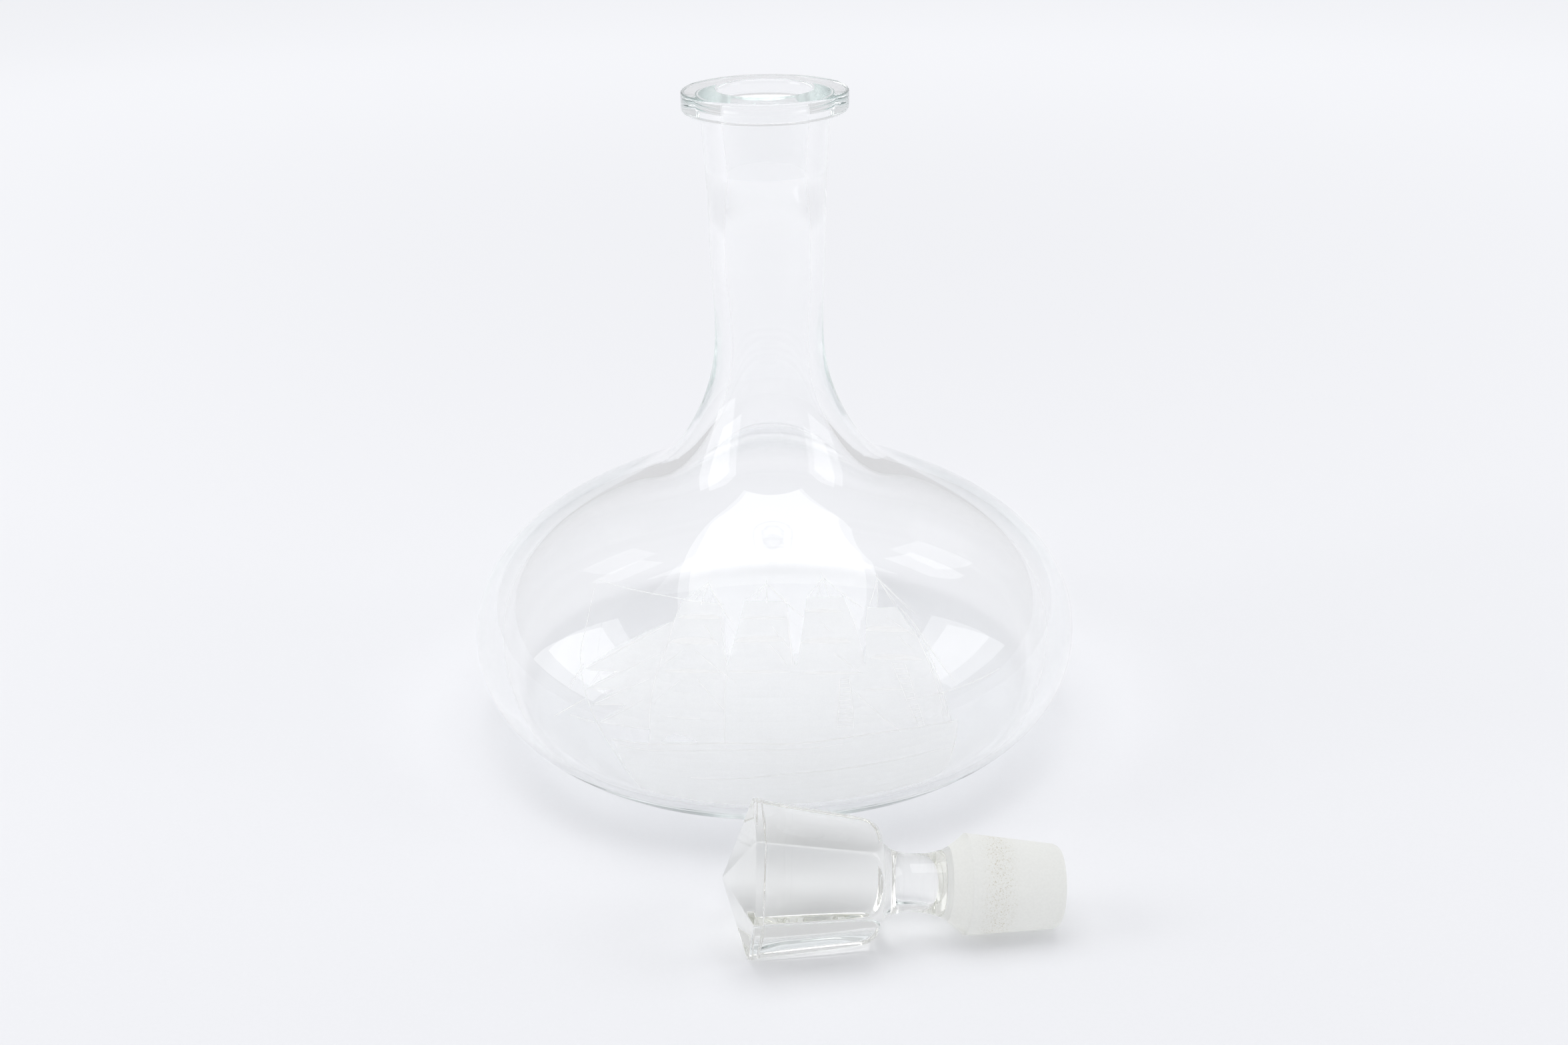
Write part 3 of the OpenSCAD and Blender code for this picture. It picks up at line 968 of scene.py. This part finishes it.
def stopper_points(rows, angles, shrink):
    """Points of the stopper on its own axis, X: six facets that run out into a turned shank."""
    s = rows[:, 0][:, None]
    from_flat = (np.degrees(angles) % 60) - 30
    here = np.radians(from_flat)
    beside = np.radians(60 - np.abs(from_flat))
    reach = facet_reach(s)
    along = np.clip(s / DISH_IN, 0, 1) * np.clip((FACET_LEN - DISH_STOP - s) / DISH_FADE, 0, 1)
    sink = DISH * along * np.cos(3 * here) ** 2
    flats = soft_min((reach - sink) / np.cos(here), reach / np.cos(beside), CORNER_SOFT)
    turned = np.broadcast_to(rows[:, 1][:, None], flats.shape)
    rounded = soft_min(flats, turned, ROUND_SOFT)
    shaped = np.where(s < FACET_LEN - ROUND_LEN, np.minimum(flats, turned), rounded)
    r = np.where(s < FACET_LEN + ROUND_PAST, shaped, turned) - shrink
    x = np.broadcast_to(s, r.shape)
    return np.stack([x, r * np.cos(angles), r * np.sin(angles)], 2)


def rest_matrix():
    """How the stopper lies: down towards its plug until the band and the plug both touch."""
    tilt = Matrix.Rotation(math.radians(REST_TILT), 4, "Y")
    yaw = Matrix.Rotation(math.radians(REST_YAW), 4, "Z")
    return yaw @ tilt


def make_stopper(glass, frost):
    """The stopper at its rest: the glass, and the ground film over its plug."""
    rows = stopper_rows()
    angles = stopper_angles()
    columns = len(angles)
    points = stopper_points(rows, angles, SKIN).reshape(-1, 3)
    tip = (TIP_BREAK - PYRAMID_H - BAND_W, 0, 0)
    end = (PLUG_AT + PLUG_LEN - SKIN, 0, 0)
    points[:, 0] = np.minimum(points[:, 0], end[0])
    faces = [quad for row in range(len(rows) - 1) for quad in ring_faces(row, columns)]
    faces += cap_faces(0, columns, len(points), False)
    faces += cap_faces((len(rows) - 1) * columns, columns, len(points) + 1, True)
    glass_piece = build_mesh("stopper_glass", np.vstack([points, [tip, end]]), faces, glass)

    ground = rows[rows[:, 0] >= FROST_AT]
    skin = stopper_points(ground, angles, FROST_SKIN).reshape(-1, 3)
    cap = (PLUG_AT + PLUG_LEN - FILM_T, 0, 0)
    faces = [quad for row in range(len(ground) - 1) for quad in ring_faces(row, columns)]
    faces += cap_faces((len(ground) - 1) * columns, columns, len(skin), True)
    frost_piece = build_mesh("ground_plug", np.vstack([skin, [cap]]), faces, frost)
    for piece in (glass_piece, frost_piece):
        piece.data.transform(rest_matrix())
    co = np.array([v.co for v in glass_piece.data.vertices])
    low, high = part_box("stopper")
    middle = (low + high) / 2
    shift = Vector((middle.x - (co[:, 0].min() + co[:, 0].max()) / 2,
                    middle.y - (co[:, 1].min() + co[:, 1].max()) / 2,
                    low.z - co[:, 2].min() + SKIN * MM / 2))
    for piece in (glass_piece, frost_piece):
        piece.data.transform(Matrix.Translation(shift))
    return glass_piece, frost_piece


# ---------------------------------------------------------------- the scene

add_camera()
set_room()
for panel in PANELS:
    add_panel(*panel)

floor = build_mesh("floor", np.array([(-1, -1, 0), (1, -1, 0), (1, 1, 0), (-1, 1, 0)]) * FLOOR_HALF / MM,
                   [(0, 1, 2, 3)], floor_material())
floor.location.z = -FLOOR_GAP

clear_glass = glass_material("clear_glass", *CLEAR_GLASS)
pressed_glass = glass_material("pressed_glass", *PRESSED_GLASS)
cut_lines = frosted_film("cut_lines", *CUT_LINES)
matted_glass = frosted_film("matted_glass", *MATTED_GLASS)
ground_socket = frosted_film("ground_socket", *GROUND_SOCKET)
stopper_low, stopper_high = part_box("stopper")
plug_axis = rest_matrix() @ Vector((1, 0, 0))
plug_end = plug_axis.dot(Vector((stopper_high.x, stopper_low.y + REST_BACK * MM, stopper_high.z / 2)))
stain = (STAIN_COLOUR, plug_axis, plug_end - STAIN_FROM * MM, plug_end - STAIN_TO * MM)
ground_glass = frosted_film("ground_glass", *GROUND_GLASS, stain)

decanter, films = make_decanter(clear_glass, cut_lines, matted_glass, ground_socket)
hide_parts("decanter_body")
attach(decanter, "decanter")
for film, slot in zip(films, ("engraved_glass", "engraved_glass", "ground_glass")):
    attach(film, "decanter")

stopper, plug = make_stopper(pressed_glass, ground_glass)
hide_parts("stopper")
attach(stopper, "stopper")
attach(plug, "stopper")
